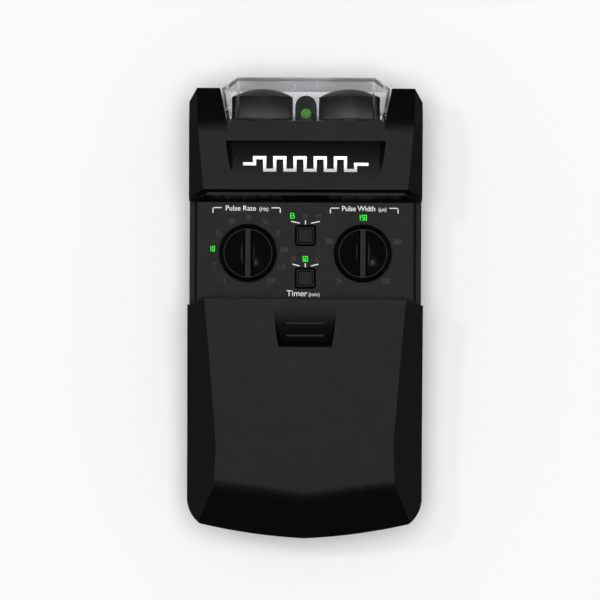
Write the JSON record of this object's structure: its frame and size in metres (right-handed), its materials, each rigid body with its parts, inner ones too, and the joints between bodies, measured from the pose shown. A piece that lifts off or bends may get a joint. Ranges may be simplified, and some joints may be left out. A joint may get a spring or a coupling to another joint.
{
  "type": "tens unit",
  "caption": "Handheld nerve stimulator with dials and push buttons under a sliding cover, intensity knobs under a clear hinged hood, and a belt clip.",
  "frame": {"origin": "middle of the unit's footprint, on the outer face of the belt clip", "axes": "+Y along the unit to the knob end, +Z out of the control side, +X to the right"},
  "size_m": [0.0658, 0.1284, 0.0306],
  "materials": {
    "black_housing": "fine satin moulded ABS",
    "panel_black": "satin dead-front panel film",
    "knob_black": "satin moulded nylon",
    "dial_black": "glossy moulded ABS",
    "clear_plastic": "clear polished polycarbonate",
    "silver_trim": "brushed silver ornament",
    "green_led": "green tinted epoxy",
    "light_guide_clear": "moulded acrylic",
    "board_green": "solder-masked glass epoxy",
    "chip_black": "moulded epoxy",
    "led_white": "chip LED body",
    "pot_metal": "plated stamped steel",
    "shaft_metal": "turned shaft",
    "switch_black": "moulded switch body",
    "capacitor_sleeve": "shrink sleeve",
    "core_steel": "varnished laminations",
    "coil_tape": "yellow winding tape",
    "brass_contact": "turned brass",
    "battery_label": "plain printed jacket",
    "battery_stud": "nickel-plated",
    "snap_black": "soft vinyl",
    "lead_red": "vinyl insulation",
    "lead_black": "vinyl insulation",
    "steel_screw": "zinc-plated",
    "clip_black": "satin moulded nylon",
    "spring_steel": "music wire"
  },
  "bodies": {
    "body": {"battery": "battery_label", "battery_lead_negative": "lead_black", "battery_lead_positive": "lead_red", "battery_terminals": "battery_stud", "button_bezels": "dial_black", "circuit_board": "board_green", "clip_bracket": "clip_black", "clip_hinge_pin": "steel_screw", "clip_screws": "steel_screw", "clip_spring": "spring_steel", "control_panel": "panel_black", "front_housing": "black_housing", "hood_hinge_pins": "steel_screw", "housing_screws": "steel_screw", "intensity_pot_left": "pot_metal", "intensity_pot_right": "pot_metal", "jack_contact_left": "brass_contact", "jack_contact_right": "brass_contact", "led_post": "knob_black", "legend_leds": "led_white", "light_guide": "light_guide_clear", "microcontroller": "chip_black", "mode_switch": "switch_black", "output_jack_left": "switch_black", "output_jack_right": "switch_black", "output_led": "green_led", "pulse_emblem": "silver_trim", "rate_encoder": "pot_metal", "rear_housing": "black_housing", "reservoir_capacitor": "capacitor_sleeve", "snap_connector": "snap_black", "timer_switch": "switch_black", "transformer_coil_left": "coil_tape", "transformer_coil_right": "coil_tape", "transformer_core_left": "core_steel", "transformer_core_right": "core_steel", "width_encoder": "pot_metal"},
    "cover": {"sliding_cover": "black_housing"},
    "hood": {"clear_hood": "clear_plastic"},
    "knob_left": {"intensity_knob_left": "knob_black", "intensity_shaft_left": "shaft_metal"},
    "knob_right": {"intensity_knob_right": "knob_black", "intensity_shaft_right": "shaft_metal"},
    "rate_selector": {"rate_dial": "dial_black", "rate_encoder_shaft": "shaft_metal"},
    "width_selector": {"width_dial": "dial_black", "width_encoder_shaft": "shaft_metal"},
    "mode_key": {"mode_button": "knob_black"},
    "timer_key": {"timer_button": "knob_black"},
    "clip": {"belt_clip_arm": "clip_black"}
  },
  "joints": [
    {"name": "cover_slide", "type": "slide", "parent": "body", "child": "cover", "axis": [0, 1, 0], "range_m": [-0.036, 0.0287]},
    {"name": "hood_hinge", "type": "hinge", "parent": "body", "child": "hood", "pos_m": [0, 0.05355, 0.00885], "axis": [-1, 0, 0], "range_deg": [0, 85]},
    {"name": "intensity_left", "type": "hinge", "parent": "body", "child": "knob_left", "pos_m": [-0.0121, 0.0566, 0.0176], "axis": [0, 1, 0], "range_deg": [0, 300]},
    {"name": "intensity_right", "type": "hinge", "parent": "body", "child": "knob_right", "pos_m": [0.0121, 0.0566, 0.0176], "axis": [0, 1, 0], "range_deg": [0, 300]},
    {"name": "rate_turn", "type": "hinge", "parent": "body", "child": "rate_selector", "pos_m": [-0.01604, 0.01526, 0.025], "axis": [0, 0, -1], "continuous": true},
    {"name": "width_turn", "type": "hinge", "parent": "body", "child": "width_selector", "pos_m": [0.01604, 0.01526, 0.025], "axis": [0, 0, -1], "continuous": true},
    {"name": "mode_press", "type": "slide", "parent": "body", "child": "mode_key", "axis": [0, 0, -1], "range_m": [0, 0.0005], "stiffness_N_per_m": 1200},
    {"name": "timer_press", "type": "slide", "parent": "body", "child": "timer_key", "axis": [0, 0, -1], "range_m": [0, 0.0005], "stiffness_N_per_m": 1200},
    {"name": "clip_pinch", "type": "hinge", "parent": "body", "child": "clip", "pos_m": [0, 0.033, 0.0034], "axis": [1, 0, 0], "range_deg": [0, 15], "stiffness_Nm_per_rad": 0.5}
  ]
}
